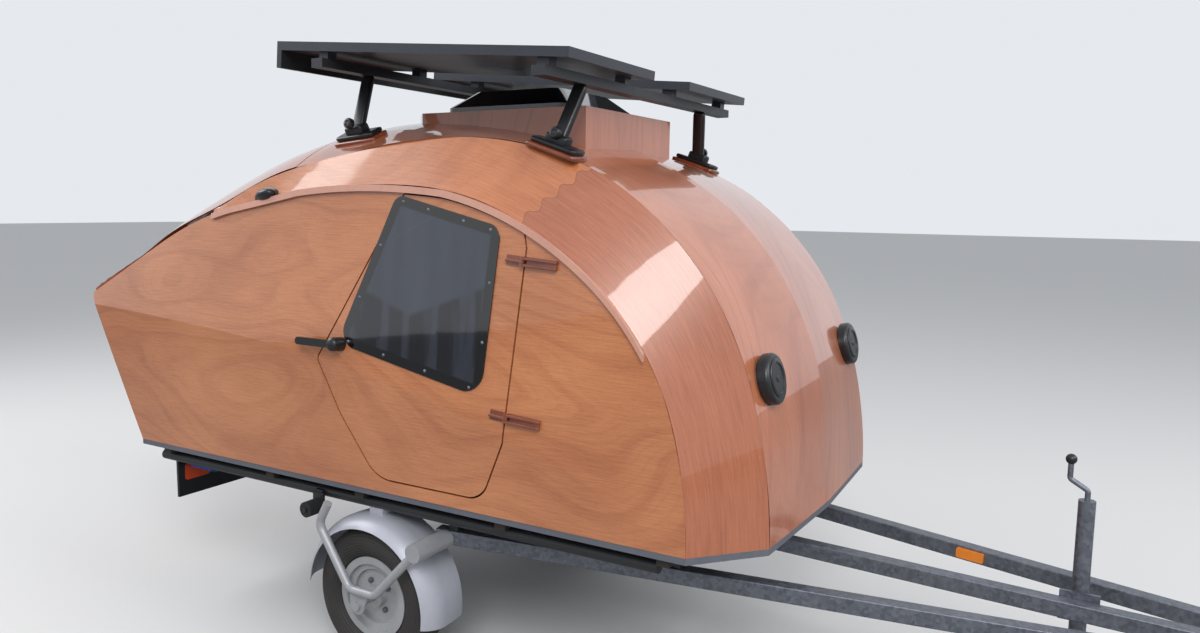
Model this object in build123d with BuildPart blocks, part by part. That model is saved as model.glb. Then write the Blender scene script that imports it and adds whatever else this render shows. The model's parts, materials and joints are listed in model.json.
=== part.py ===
from build123d import *
from collections import namedtuple
from math import cos, radians, sin, tan
import os

# Teardrop trailer: a folded plywood cabin on an old tubular trailer chassis.
# X runs forward to the coupling, Y to the left, Z up from the ground, in millimetres.
# Cabin places give x ahead of the floor's front side corners and z above the floor's underside.

# Cabin
nose_x = 272            # floor's front side corners, ahead of the trailer's middle
floor_z = 636           # floor's underside above the ground
floor_half = 727        # half of the floor's width
floor_rear = -2428      # floor's rear edge
floor_thickness = 20
wall = 18               # plywood of sides, chines, roof, doors and hatch
side_lean = 2           # degrees that the sides' top edges lean in
seam_bevel = 1.2        # inner bevel of a panel's edge at a seam, in wall thicknesses
seam_gap = 0.8          # left open along the chines' edges
moving_gap = 6          # round doors and hatch
hatch_x = -1565         # front edge of the hatch

# Doors, windows and their fittings
door_corners = [        # x, z, corner radius
    (-1030, 1040, 70), (-590, 1040, 10), (-552, 860, 10), (-612, 262, 60), (-700, 62, 90),
    (-1146, 62, 130), (-1300, 268, 150), (-1400, 455, 30)]
moulding_height = 22
moulding_thickness = 14
moulding_ends = (-150, -1975)
window_corners = [(-1066, 1018, 45), (-649, 921, 50), (-699, 396, 70), (-1302, 517, 60)]
window_land = 34        # width of the pane that lies on the door
pane_thickness = 4
hinge_heights = (345, 820)
hinge_arm = 118         # fixed leaf ahead of the pin
hinge_strap = 62        # door leaf behind the pin
hinge_height = 30
hinge_pins_x = (-598, -561)
hinge_stand = 12        # pin outside the side's face
hinge_plate = 6
hinge_clear = 10        # from the pin to a leaf
knuckle_radius = 8
pin_radius = 4
handle_at = (-1287, 512)
handle_length = 195
handle_boss = 24
handle_stand = 30
handle_height = 26
handle_thickness = 16

# Roof fittings
plinth_size = (760, 640, 1316)      # length, width, top above the floor's underside
plinth_x = -960
skylight_opening = 400
skylight_size = 520
skylight_rise = 62
rack_bars_x = (-516, -1412)
rack_half = 700
bar_size = (50, 30)                 # width, height
rack_foot_y = 575
panel_length = 1200
panel_width = 547
panel_thickness = 30
panel_gap = 284
panel_front = (-417, 1438.6)        # x, z of the panels' front top edge
panel_pitch = 4.96                  # degrees, rear end higher
plinth_bevel = 60
plinth_depth = 150
frame_corner = 40
skylight_frame_height = 22
lid_gap = 0.3
dome_top_share = 0.72
dome_wall = 5
bar_drop = 70                       # bars' middle under the panels' top
foot_top = (60, 70)
foot_waist = 60
foot_waist_size = (40, 45)
foot_reach = 320                    # the feet are cut off at the roof
foot_base = (220, 110)
bracket = 40
bracket_drop = 23
profile_size = (22, 60)
vent_radius = 77
vent_neck_share = 0.85
vent_round = 12
vent_sink = 8                       # start of the neck under the skin, cut to its face
nose_vent_share = 0.93
tail_vent_up = 300
tail_vent_y = 480
vent_depth = 46
vent_y = 420

# Running gear
tyre_radius = 252.5
tyre_width = 130
tread_share = 0.72
bead_share = 0.62
shoulder_drop = 10
rim_radius = 127
rim_clearance = 0.5
rim_sheet = 6
flange_radius = 146
well_half = 30
well_radius = 104
disc_at = 14                        # disc's outboard face beside the tyre's middle
hub_radius = 38
hub_reach = 42
axle_radius = 12
axle_end = 48                       # beyond the tyre's middle
axle_nut = 10
wheel_x = -1202
wheel_y = 655                       # middle plane of the tyre
fender_radius = 298
fender_width = 180
fender_lip = 258
fender_fall = 16
fender_sheet = 4
fender_rear_angle = 5
fender_arc = 184
fender_bracket = (60, 40)
arm_tube = 30
arm_y = 782
arm_corners = [(-925, -133), (-1114, -326), (-1228, -326), (-1368, -120), (-1322, -40)]
arm_bend = 45
pivot_tube = 62
pivot_at = (-925, -133)
pivot_inner = 620                   # cut back to the rail's outer face
boss_half = 22
plate_half = 32
plate_rise = 64
plate_lead = 30
plate_thickness = 8
roller_at = (-1458, -95)
roller_y = 700
roller_width = 60
roller_radius = 28
roller_pin = 8
hanger_thickness = 8

# Chassis, drawbar and jack
frame_tube = 40
cross_tube = 34
frame_y = 665
frame_ends = (-2330, -150)
cross_tubes_x = (-2330, -1560, -900, -150)
joist_size = (40, 28)               # width, height
joist_inset = 20
joists_x = (-2300, -1700, -1250, -650, -80)
spacer = 36
rail = 50
rail_round = 4
rail_middle_rear = -300
rail_y = 422                        # outer rails' axes beside the floor's front corners
rail_taper = 0.207                  # they draw in by this for each unit forward
rail_top = -133                     # their top at the floor's front corners
rail_drop = 0.031                   # they fall by this for each unit forward
rail_rear = -965
rail_meet = 1790
rail_front = 1990
coupling_tip = 2203
coupling_overlap = 60
coupling_wall = 6
cup_outer = 38
cup_rise = 12
cup_height = 66
cup_depth = 48
ball_bore = 50
lever_rise = 38
lever_length = 120
lever_width = 22
jack_x = 950
jack_tube = 48
jack_bore = 40
jack_foot = (150, 110, 8)
jack_ends = (-280, 135)
jack_cap = 12
jack_plate = 6
jack_plate_length = 110
jack_plate_height = 90
leg_top = -150
crank_neck = 30
crank_slope = 30
crank_throw = 50
crank_bend = 12
crank_radius = 8
crank_top = 255
crank_knob = 16

# Rear board and small fittings
board_size = (12, 1260, 200)        # thickness, width, height
board_top = -40
lamp_size = (28, 120, 70)
lamp_y = 540
lamp_round = 12
inlet_ends = (-2330, -2200)
inlet_y = 560
inlet_radius = 30
reflector_spans = ((-762, -645), (570, 661))
reflector_height = 34
reflector_thickness = 8
reflector_round = 6
marker_span = (-560, -450)
marker_height = 30
marker_thickness = 3

# Hull stations from the nose to the tail: ridge x z, roof edge x y z, side's top edge x z,
# crease z and how far it stands out, power of the roof's crown
Station = namedtuple("Station", "ridge_x ridge_z roof_x roof_y roof_z side_x side_z "
                                "crease_z stand_out crown")
stations = [
    Station(195, 20, 173, 533, 20, -1, 20, 20, 0, 1.15),
    Station(174, 240, 157, 533, 235, -22, 235, 22, 0, 1.15),
    Station(122, 515, 95, 533, 503, -91, 473, 62, 4, 1.15),
    Station(15, 742, -8, 533, 724, -200, 648, 122, 8, 1.15),
    Station(-150, 945, -170, 533, 921, -370, 812, 203, 15, 1.15),
    Station(-440, 1135, -451, 535, 1111, -620, 955, 286, 24, 1.2),
    Station(-850, 1258, -860, 585, 1203, -880, 1032, 365, 30, 1.8),
    Station(-1290, 1300, -1300, 642, 1160, -1240, 1048, 434, 34, 2.8),
    Station(-1520, 1280, -1525, 662, 1116, -1519, 1030, 473, 35, 3.0),
    Station(-1715, 1232, -1715, 681, 1063, -1715, 994, 493, 34, 3.2),
    Station(-1874, 1180, -1874, 688, 998, -1874, 966, 506, 33, 3.4),
    Station(-1980, 1138, -1980, 690, 957, -1980, 940, 515, 31, 3.4),
    Station(-2270, 990, -2270, 697, 845, -2270, 832, 532, 25, 3.4),
    Station(-2500, 828, -2500, 702, 735, -2500, 722, 546, 19, 3.2),
    Station(-2744, 622, -2744, 706, 614, -2744, 601, 560, 12, 3.0)]
chine_last = 11                     # the roof meets the sides behind this station

os.makedirs("parts", exist_ok=True)


def lean_y(z):
    """Half width of the plane that holds the side's top edge."""
    return floor_half - z * tan(radians(side_lean))


def save(part, name):
    part.label = name
    export_step(part, f"parts/{name}.step")


def save_pair(part, name):
    """Write a right-hand piece and its mirror image."""
    save(part, f"{name}_right")
    save(mirror(part, about=Plane.XZ), f"{name}_left")


def cabin(x, z):
    return nose_x + x, floor_z + z


def outline(corners):
    """Closed XZ outline with rounded corners, from (x, z, radius)."""
    with BuildSketch() as shape:
        with BuildLine():
            FilletPolyline(*[cabin(x, z) for x, z, radius in corners],
                           radius=[radius for x, z, radius in corners], close=True)
        make_face()
    return shape.sketch


def side_outline(lowered=0):
    """Everything under the side's top edge, lowered by some distance."""
    edge = [cabin(s.side_x, s.side_z - lowered) for s in stations]
    edge[0] = cabin(stations[0].side_x, floor_thickness)
    with BuildSketch() as shape:
        with BuildLine():
            for first in range(0, len(edge) - 2, 2):
                ThreePointArc(*edge[first:first + 3])
            Polyline(edge[-1], cabin(floor_rear, floor_thickness), edge[0])
        make_face()
    return shape.sketch


def right_prism(shape, inset=0):
    """Prism to the right over an XZ outline, drawn in by an inset."""
    with BuildPart() as prism:
        with BuildSketch(Plane.XZ):
            add(shape)
            if inset:
                offset(amount=-inset, mode=Mode.REPLACE)
        extrude(amount=2 * floor_half)
    return prism.part


# The side's faces
overrun = 120           # the lofts run past the edges that trim them
foot_z = -40
side_stations = stations[2:-1]
side_stations.insert(0, stations[0]._replace(side_x=stations[0].side_x + wall))
side_stations.append(stations[-1]._replace(side_x=stations[-1].side_x - overrun))


def side_skin(level, inner, outer):
    """Right side's upper or lower panel, from inner to outer millimetres outside its face."""
    with BuildPart() as skin:
        for s in side_stations:
            crease_y = lean_y(s.crease_z) + s.stand_out
            if level == "lower":
                low, high = (floor_half, foot_z), (crease_y, s.crease_z)
            else:
                rise = s.side_z - s.crease_z
                slope = (lean_y(s.side_z) - crease_y) / rise if rise > 1 else lean_y(1) - lean_y(0)
                low = (crease_y, s.crease_z)
                high = (crease_y + slope * (rise + overrun), s.side_z + overrun)
            with BuildSketch(Plane.YZ.offset(nose_x + s.side_x)):
                with BuildLine():
                    Polyline((-low[0] - outer, floor_z + low[1]), (-high[0] - outer, floor_z + high[1]),
                             (-high[0] - inner, floor_z + high[1]), (-low[0] - inner, floor_z + low[1]),
                             close=True)
                make_face()
        loft(ruled=True)
    return skin.part


def side_face_y(x, z):
    """Half width of the side's face at a place on it, between the stations beside it."""
    for front, rear in zip(stations, stations[1:]):
        if rear.side_x <= x <= front.side_x:
            share = (front.side_x - x) / (front.side_x - rear.side_x)
            crease_z = front.crease_z + share * (rear.crease_z - front.crease_z)
            stand_out = front.stand_out + share * (rear.stand_out - front.stand_out)
            top_z = front.side_z + share * (rear.side_z - front.side_z)
            crease_y = lean_y(crease_z) + stand_out
            if z < crease_z:
                return floor_half + (crease_y - floor_half) * z / crease_z
            return crease_y + (lean_y(top_z) - crease_y) * (z - crease_z) / (top_z - crease_z)
    return floor_half


door_shape = outline(door_corners) & side_outline(moulding_height)
window_shape = outline(window_corners)
side_shape = right_prism(side_outline())

with BuildPart() as side_lower:
    add(side_skin("lower", -wall, 0))
    add(side_shape, mode=Mode.INTERSECT)
    add(right_prism(door_shape), mode=Mode.SUBTRACT)
save_pair(side_lower.part, "side_lower")

with BuildPart() as side_upper:
    add(side_skin("upper", -wall, 0))
    add(side_shape, mode=Mode.INTERSECT)
    add(right_prism(door_shape), mode=Mode.SUBTRACT)
save_pair(side_upper.part, "side_upper")

# Doors, cut from the same sheets
with BuildPart() as door:
    add(side_skin("lower", -wall, 0))
    add(side_skin("upper", -wall, 0))
    add(right_prism(door_shape, moving_gap), mode=Mode.INTERSECT)
    add(right_prism(window_shape, window_land), mode=Mode.SUBTRACT)
save_pair(door.part, "door")

with BuildPart() as window:
    add(side_skin("upper", 0.3, 0.3 + pane_thickness))
    add(right_prism(window_shape), mode=Mode.INTERSECT)
save_pair(window.part, "window")

with BuildPart() as moulding:
    add(side_skin("upper", 0.3, moulding_thickness))
    add(side_shape, mode=Mode.INTERSECT)
    add(right_prism(side_outline(moulding_height)), mode=Mode.SUBTRACT)
    with BuildSketch(Plane.XY):
        with Locations((nose_x + (moulding_ends[0] + moulding_ends[1]) / 2, -floor_half)):
            Rectangle(moulding_ends[0] - moulding_ends[1], floor_half)
    extrude(amount=2 * floor_z + 1000, mode=Mode.INTERSECT)
save_pair(moulding.part, "drip_moulding")

# Floor and tail
with BuildPart() as floor:
    with BuildSketch(Plane.XY.offset(floor_z)):
        with BuildLine():
            nose, corner = stations[0].ridge_x, stations[0].roof_x
            Polyline((nose_x + floor_rear, floor_half), (nose_x, floor_half),
                     (nose_x + corner, stations[0].roof_y), (nose_x + nose, 0),
                     (nose_x + corner, -stations[0].roof_y), (nose_x, -floor_half),
                     (nose_x + floor_rear, -floor_half), close=True)
        make_face()
    extrude(amount=floor_thickness)
save(floor.part, "floor")

tail_low = Vector(nose_x + floor_rear, 0, floor_z + floor_thickness)
tail_corner = Vector(nose_x + stations[-1].side_x, 0, floor_z + stations[-1].side_z)
tail_high = tail_corner + (tail_low - tail_corner).normalized() * 2 * wall
tail_plane = Plane(origin=tail_low, x_dir=(0, 1, 0), z_dir=Vector(0, 1, 0).cross(tail_high - tail_low))
tail_height = (tail_high - tail_low).length
tail_top_half = lean_y(stations[-1].side_z) + stations[-1].stand_out / 2 - wall - 10
with BuildPart() as tail_panel:
    with BuildSketch(tail_plane):
        with BuildLine():
            low_half = floor_half - wall - 1
            Polyline((-low_half, 0), (low_half, 0), (tail_top_half, tail_height),
                     (-tail_top_half, tail_height), close=True)
        make_face()
    extrude(amount=wall if tail_plane.z_dir.X > 0 else -wall)
save(tail_panel.part, "tail_panel")


# Chines and roof
def place(x, y, z):
    return Vector(nose_x + x, y, floor_z + z)


def side_edge(s):
    return place(s.side_x, -lean_y(s.side_z), s.side_z)


def roof_edge(s):
    return place(s.roof_x, -s.roof_y, s.roof_z)


with BuildPart() as chine:
    for k, s in enumerate(stations[:chine_last + 1]):
        low, high = side_edge(s), roof_edge(s)
        if k == 0:
            along = Vector(0, 0, 1)
        else:
            before, after = stations[k - 1], stations[k + 1]
            along = side_edge(after) + roof_edge(after) - side_edge(before) - roof_edge(before)
        across = (high - low).normalized()
        inward = along.cross(across).normalized()
        if inward.Y < 0:
            inward = -inward
        width = (high - low).length
        bevel = min(seam_bevel * wall, 0.4 * width)
        with BuildSketch(Plane(origin=low, x_dir=across, z_dir=across.cross(inward))):
            with BuildLine():
                Polyline((seam_gap, 0), (width - seam_gap, 0), (width - bevel, wall), (bevel, wall),
                         close=True)
            make_face()
    loft()
save_pair(chine.part, "chine")


def roof_skin(depth, edge_gap=0):
    """Right half of the roof between the ridge and the roof's edge, one section per station."""
    with BuildPart() as skin:
        for s in stations:
            ridge, edge = place(s.ridge_x, 0, s.ridge_z), place(s.roof_x, 0, s.roof_z)
            fall = (edge - ridge).length
            inward = (edge - ridge).normalized()
            outboard = Vector(0, -1, 0)

            def at(share, inset):
                return share * s.roof_y, fall * share ** s.crown + inset

            reach = 1 - edge_gap / s.roof_y
            rim = reach - seam_bevel * wall / s.roof_y
            with BuildSketch(Plane(origin=ridge, x_dir=outboard, z_dir=outboard.cross(inward))):
                with BuildLine():
                    ThreePointArc(at(0, 0), at(0.36, 0), at(0.72, 0))
                    ThreePointArc(at(0.72, 0), at(0.86, 0), at(reach, 0))
                    Line(at(reach, 0), at(rim, depth))
                    ThreePointArc(at(rim, depth), at((rim + 0.72) / 2, depth), at(0.72, depth))
                    ThreePointArc(at(0.72, depth), at(0.36, depth), at(0, depth))
                    Line(at(0, depth), at(0, 0))
                make_face()
        loft()
    return skin.part


def ahead_of(x):
    """Half space ahead of a lateral plane, as a box."""
    with BuildPart() as space:
        with BuildSketch(Plane.YZ.offset(nose_x + x)):
            with Locations((0, floor_z)):
                Rectangle(4 * floor_half, 4 * floor_half)
        extrude(amount=4 * floor_half)
    return space.part


with BuildPart() as roof:
    add(roof_skin(wall))
    add(chine.part, mode=Mode.SUBTRACT)
    add(ahead_of(hatch_x + moving_gap / 2), mode=Mode.INTERSECT)
    with BuildSketch(Plane.XY.offset(floor_z)):
        with Locations((nose_x + plinth_x, 0)):
            Rectangle(skylight_opening, skylight_opening)
    extrude(amount=2 * floor_half, mode=Mode.SUBTRACT)
save_pair(roof.part, "roof")

with BuildPart() as hatch:
    add(roof_skin(wall, moving_gap))
    mirror(about=Plane.XZ)
    add(ahead_of(hatch_x - moving_gap / 2), mode=Mode.SUBTRACT)
save(hatch.part, "hatch")


# Roof fittings
plinth_length, plinth_half, plinth_top = plinth_size[0], plinth_size[1] / 2, plinth_size[2]
with BuildPart() as roof_shell:
    add(roof_skin(wall))
    add(chine.part)
    mirror(about=Plane.XZ)


def seated_on_roof(part):
    """What is left of a solid above the roof's panels."""
    return (part - roof_shell.part).solids().sort_by(Axis.Z)[-1]


with BuildPart() as plinth:
    with BuildSketch(Plane.XY.offset(floor_z + plinth_top)):
        with Locations((nose_x + plinth_x, 0)):
            Rectangle(plinth_length, 2 * plinth_half)
            Rectangle(skylight_opening, skylight_opening, mode=Mode.SUBTRACT)
    extrude(amount=-plinth_depth)
    corners = plinth.edges().filter_by(Axis.Z).group_by(SortBy.DISTANCE)[-1]
    chamfer(corners, plinth_bevel)
save(Part() + seated_on_roof(plinth.part), "skylight_plinth")

with BuildPart() as skylight_frame:
    with BuildSketch(Plane.XY.offset(floor_z + plinth_top)):
        with Locations((nose_x + plinth_x, 0)):
            RectangleRounded(skylight_size, skylight_size, frame_corner)
            Rectangle(skylight_opening, skylight_opening, mode=Mode.SUBTRACT)
    extrude(amount=skylight_frame_height)
save(skylight_frame.part, "skylight_frame")

dome_z = floor_z + plinth_top + skylight_frame_height + lid_gap
with BuildPart() as skylight:
    with BuildSketch(Plane.XY.offset(dome_z)):
        with Locations((nose_x + plinth_x, 0)):
            RectangleRounded(skylight_size, skylight_size, frame_corner)
    with BuildSketch(Plane.XY.offset(dome_z + skylight_rise)):
        with Locations((nose_x + plinth_x, 0)):
            RectangleRounded(skylight_size * dome_top_share, skylight_size * dome_top_share, frame_corner)
    loft()
    offset(amount=-dome_wall, openings=skylight.faces().sort_by(Axis.Z)[0])
save(skylight.part, "skylight")


def bar_middle(x):
    """Height of a rack bar's middle."""
    return panel_front[1] + (panel_front[0] - x) * tan(radians(panel_pitch)) - bar_drop


with BuildPart() as rack_bars:
    for x in rack_bars_x:
        with Locations(place(x, 0, bar_middle(x))):
            Box(bar_size[0], 2 * rack_half, bar_size[1])
save(rack_bars.part, "rack_bars")


def rack_foot(x, side):
    """Foot that widens from the bar to its base and sits on the roof."""
    top = place(x, side * rack_foot_y, bar_middle(x) - bar_size[1] / 2)
    with BuildPart() as foot:
        for upper, lower, upper_size, lower_size in (
                (0, foot_waist, foot_top, foot_waist_size),
                (foot_waist, foot_reach, foot_waist_size, foot_base)):
            for depth, size in ((upper, upper_size), (lower, lower_size)):
                with BuildSketch(Plane(origin=top - Vector(0, 0, depth), z_dir=(0, 0, -1))):
                    Rectangle(*size)
            loft()
    return seated_on_roof(foot.part)


with BuildPart() as rack_feet:
    for x in rack_bars_x:
        for side in (-1, 1):
            add(rack_foot(x, side))
save(rack_feet.part, "rack_feet")

panel_slope = Plane(origin=place(panel_front[0], 0, panel_front[1]), x_dir=(0, 1, 0),
                    z_dir=(sin(radians(panel_pitch)), 0, cos(radians(panel_pitch))))
panel_y = (panel_gap + panel_width) / 2
for side, name in ((-1, "solar_panel_right"), (1, "solar_panel_left")):
    with BuildPart() as solar_panel:
        with BuildSketch(panel_slope):
            with Locations((side * panel_y, panel_length / 2)):
                Rectangle(panel_width, panel_length)
        extrude(amount=-panel_thickness)
        for x in rack_bars_x:
            with BuildSketch(panel_slope.offset(-panel_thickness)):
                with Locations(*[(side * panel_y + y, panel_front[0] - x)
                                 for y in (-panel_width / 2 + bracket, panel_width / 2 - bracket)]):
                    Rectangle(bracket, bracket)
            extrude(amount=-bracket_drop)
    save(solar_panel.part, name)

with BuildPart() as rack_profile:
    with BuildSketch(panel_slope.offset(-panel_thickness)):
        with Locations((0, panel_length - profile_size[0] / 2)):
            Rectangle(2 * panel_y + panel_width, profile_size[0])
    extrude(amount=-profile_size[1])
save(rack_profile.part, "rack_profile")


# Vents on the nose and the tail
def vent(origin, outward):
    """Round vent with a domed cap on a neck, turned about its own axis."""
    plane = Plane(origin=origin, x_dir=(0, 1, 0), z_dir=outward)
    with BuildPart() as cap:
        with BuildSketch(plane):
            Circle(vent_radius * vent_neck_share)
        extrude(amount=vent_depth * 0.5)
        with BuildSketch(plane.offset(vent_depth * 0.3)):
            Circle(vent_radius)
        extrude(amount=vent_depth * 0.7)
        fillet(cap.faces().sort_by(Axis(origin, outward))[-1].edges(), vent_round)
    return cap.part


def roof_point(s, y):
    """Point of the roof's right half at a station and a distance from the ridge."""
    ridge, edge = place(s.ridge_x, 0, s.ridge_z), place(s.roof_x, 0, s.roof_z)
    return ridge + (edge - ridge) * (y / s.roof_y) ** s.crown - Vector(0, y, 0)


nose_low, nose_high = roof_point(stations[1], vent_y), roof_point(stations[2], vent_y)
nose_out = (nose_high - nose_low).normalized().cross(Vector(0, -1, 0))
nose_vent = vent(nose_low + (nose_high - nose_low) * nose_vent_share - nose_out * vent_sink, nose_out)
with BuildPart() as nose_vents:
    add((nose_vent - roof_shell.part).solids().sort_by(SortBy.VOLUME)[-1])
    mirror(about=Plane.XZ)
save(nose_vents.part, "nose_vents")

tail_up = (tail_high - tail_low).normalized()
tail_out = tail_up.cross(Vector(0, 1, 0)) if tail_up.cross(Vector(0, 1, 0)).X < 0 else -tail_up.cross(Vector(0, 1, 0))
with BuildPart() as tail_vents:
    add(vent(tail_low + tail_up * tail_vent_up - Vector(0, tail_vent_y, 0) + tail_out * lid_gap, tail_out))
    mirror(about=Plane.XZ)
save(tail_vents.part, "tail_vents")


# Door hinges and handles, on the right and mirrored
def on_side(x, z, out=0):
    """Plane on the right side's face, its X forward and its Z outward."""
    step = 5
    slope_x = (side_face_y(x + step, z) - side_face_y(x - step, z)) / (2 * step)
    slope_z = (side_face_y(x, z + step) - side_face_y(x, z - step)) / (2 * step)
    outward = Vector(-slope_x, -1, -slope_z).normalized()
    return Plane(origin=place(x, -side_face_y(x, z), z) + outward * out, x_dir=(1, 0, 0), z_dir=outward)


pins = [on_side(x, z, hinge_stand).origin for x, z in zip(hinge_pins_x, hinge_heights)]
pin_line = (pins[1] - pins[0]).normalized()


def hinge_leaf(pin, reach, levels, bored):
    """Half a hinge: a leaf on the face and knuckles about the pin, at the given levels."""
    outward = Vector(0, -1, 0) - pin_line * Vector(0, -1, 0).dot(pin_line)
    base = Plane(origin=pin - pin_line * hinge_height / 2, x_dir=pin_line.cross(outward), z_dir=pin_line)
    forward = 1 if base.x_dir.X * reach > 0 else -1
    face, top = lid_gap - hinge_stand, lid_gap - hinge_stand + hinge_plate
    up = 1 if base.y_dir.Y < 0 else -1
    with BuildPart() as leaf:
        with BuildSketch(base):
            with BuildLine():
                near, far = forward * hinge_clear, forward * abs(reach)
                Polyline((near, up * face), (far, up * face), (far, up * top), (near, up * top), close=True)
            make_face()
        extrude(amount=hinge_height)
        for low, high in levels:
            with BuildSketch(base.offset(low)):
                Circle(knuckle_radius)
                with BuildLine():
                    Polyline((0, up * face), (forward * hinge_clear, up * face),
                             (forward * hinge_clear, up * top), (0, up * knuckle_radius), close=True)
                make_face()
            extrude(amount=high - low)
        if bored:
            with BuildSketch(base):
                Circle(pin_radius + lid_gap)
            extrude(amount=hinge_height, mode=Mode.SUBTRACT)
        else:
            with BuildSketch(base):
                Circle(pin_radius)
            extrude(amount=hinge_height)
    return leaf.part


third = hinge_height / 3
with BuildPart() as hinge_forks:
    for pin in pins:
        add(hinge_leaf(pin, hinge_arm, [(0, third - lid_gap), (2 * third + lid_gap, hinge_height)], False))
    add(side_upper.part, mode=Mode.SUBTRACT)
save_pair(hinge_forks.part, "hinge_forks")

with BuildPart() as door_fittings:
    for pin in pins:
        add(hinge_leaf(pin, -hinge_strap, [(third + lid_gap, 2 * third - lid_gap)], True))
    add(door.part, mode=Mode.SUBTRACT)
    handle_base = on_side(*handle_at, lid_gap)
    with BuildSketch(handle_base):
        Circle(handle_boss)
    extrude(amount=handle_stand)
    with BuildSketch(handle_base.offset(handle_stand)):
        with Locations((handle_boss - handle_length / 2, 0)):
            SlotOverall(handle_length, handle_height)
    extrude(amount=handle_thickness)
save_pair(door_fittings.part, "door_fittings")


# Lines of the drawbar's rails
def rail_z(x):
    """Top of the drawbar's rails."""
    return rail_top - rail_drop * x


def rail_centre_y(x):
    return rail_y - rail_taper * x


def rail_bar(start, end, side, height=rail):
    """Box section between two places ahead, on one side or in the middle."""
    a = place(start, side * rail_centre_y(start), rail_z(start) - rail / 2)
    b = place(end, side * rail_centre_y(end), rail_z(end) - rail / 2)
    along = (b - a).normalized()
    with BuildPart() as bar:
        with BuildSketch(Plane(origin=a, x_dir=Vector(0, 0, 1).cross(along), z_dir=along)):
            RectangleRounded(rail, height, rail_round)
        extrude(amount=(b - a).length)
    return bar.part


# Wheels, fenders and swing arms, on the right and mirrored
hub = place(wheel_x, -wheel_y, tyre_radius - floor_z)
axle = Axis(hub, (0, 1, 0))


def radial_plane(angle):
    """Plane through the axle, its X outboard and its Y at an angle up from the rear."""
    return Plane(origin=hub, x_dir=(0, -1, 0), z_dir=(-sin(radians(angle)), 0, -cos(radians(angle))))


half = tyre_width / 2
bead = half * bead_share
shoulder = half * tread_share
shoulder_radius = tyre_radius - shoulder_drop
with BuildPart() as tyre:
    with BuildSketch(radial_plane(0)):
        with BuildLine():
            flank = (bead, flange_radius + 1)
            Polyline((0, rim_radius), (bead, rim_radius), flank)
            ThreePointArc(flank, (half, (flange_radius + tyre_radius) / 2), (shoulder, shoulder_radius))
            ThreePointArc((shoulder, shoulder_radius), (shoulder / 2, tyre_radius - shoulder_drop / 4),
                          (0, tyre_radius))
            Line((0, tyre_radius), (0, rim_radius))
        make_face()
        mirror(about=Plane.YZ)
    revolve(axis=axle)
save_pair(tyre.part, "tyre")

seat = rim_radius - rim_clearance
with BuildPart() as rim:
    with BuildSketch(radial_plane(0)):
        with BuildLine():
            lip, under, floor_r = bead + rim_sheet, seat - rim_sheet, well_radius - rim_sheet
            bore, disc_back, well = axle_radius + rim_clearance, disc_at - rim_sheet, well_half - rim_sheet
            Polyline((-lip, under), (-lip, flange_radius), (-bead - 2, flange_radius), (-bead - 2, seat),
                     (-well, seat), (-well, well_radius), (well, well_radius), (well, seat),
                     (bead + 2, seat), (bead + 2, flange_radius), (lip, flange_radius), (lip, under),
                     (well_half, under), (well_half, floor_r), (disc_at, floor_r), (disc_at, hub_radius),
                     (hub_reach, hub_radius), (hub_reach, bore), (-hub_reach, bore),
                     (-hub_reach, hub_radius), (disc_back, hub_radius), (disc_back, floor_r),
                     (-well_half, floor_r), (-well_half, under), close=True)
        make_face()
    revolve(axis=axle)
save_pair(rim.part, "rim")

frame_top = -joist_size[1]
frame_z = frame_top - frame_tube / 2
crown_z = tyre_radius - floor_z + fender_radius
with BuildPart() as fender:
    with BuildSketch(radial_plane(fender_rear_angle)):
        with BuildLine():
            out, inn = fender_width / 2, -fender_width / 2
            rim_out, rim_inn = fender_radius - fender_fall, fender_radius - fender_fall / 2
            ThreePointArc((out, fender_lip), (0.72 * out, rim_out), (0, fender_radius))
            ThreePointArc((0, fender_radius), (0.72 * inn, (fender_radius + rim_inn) / 2), (inn, rim_inn))
            Line((inn, rim_inn), (inn, rim_inn - fender_sheet))
            ThreePointArc((inn, rim_inn - fender_sheet), (0.72 * inn, (fender_radius + rim_inn) / 2 - fender_sheet),
                          (0, fender_radius - fender_sheet))
            ThreePointArc((0, fender_radius - fender_sheet), (0.72 * out - fender_sheet, rim_out - fender_sheet / 2),
                          (out - fender_sheet, fender_lip))
            Line((out - fender_sheet, fender_lip), (out, fender_lip))
        make_face()
    revolve(axis=axle, revolution_arc=fender_arc)
    crown = place(wheel_x, -wheel_y, crown_z - fender_sheet / 2)
    with BuildSketch(Plane(origin=crown, z_dir=(0, 0, 1))):
        Rectangle(*fender_bracket)
    extrude(amount=frame_z - crown_z + fender_sheet / 2 - lid_gap)
    with Locations(place(wheel_x, -frame_y, frame_z)):
        Cylinder(frame_tube / 2 + lid_gap, 2 * fender_width, rotation=(0, 90, 0), mode=Mode.SUBTRACT)
save_pair(fender.part, "fender")


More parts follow.
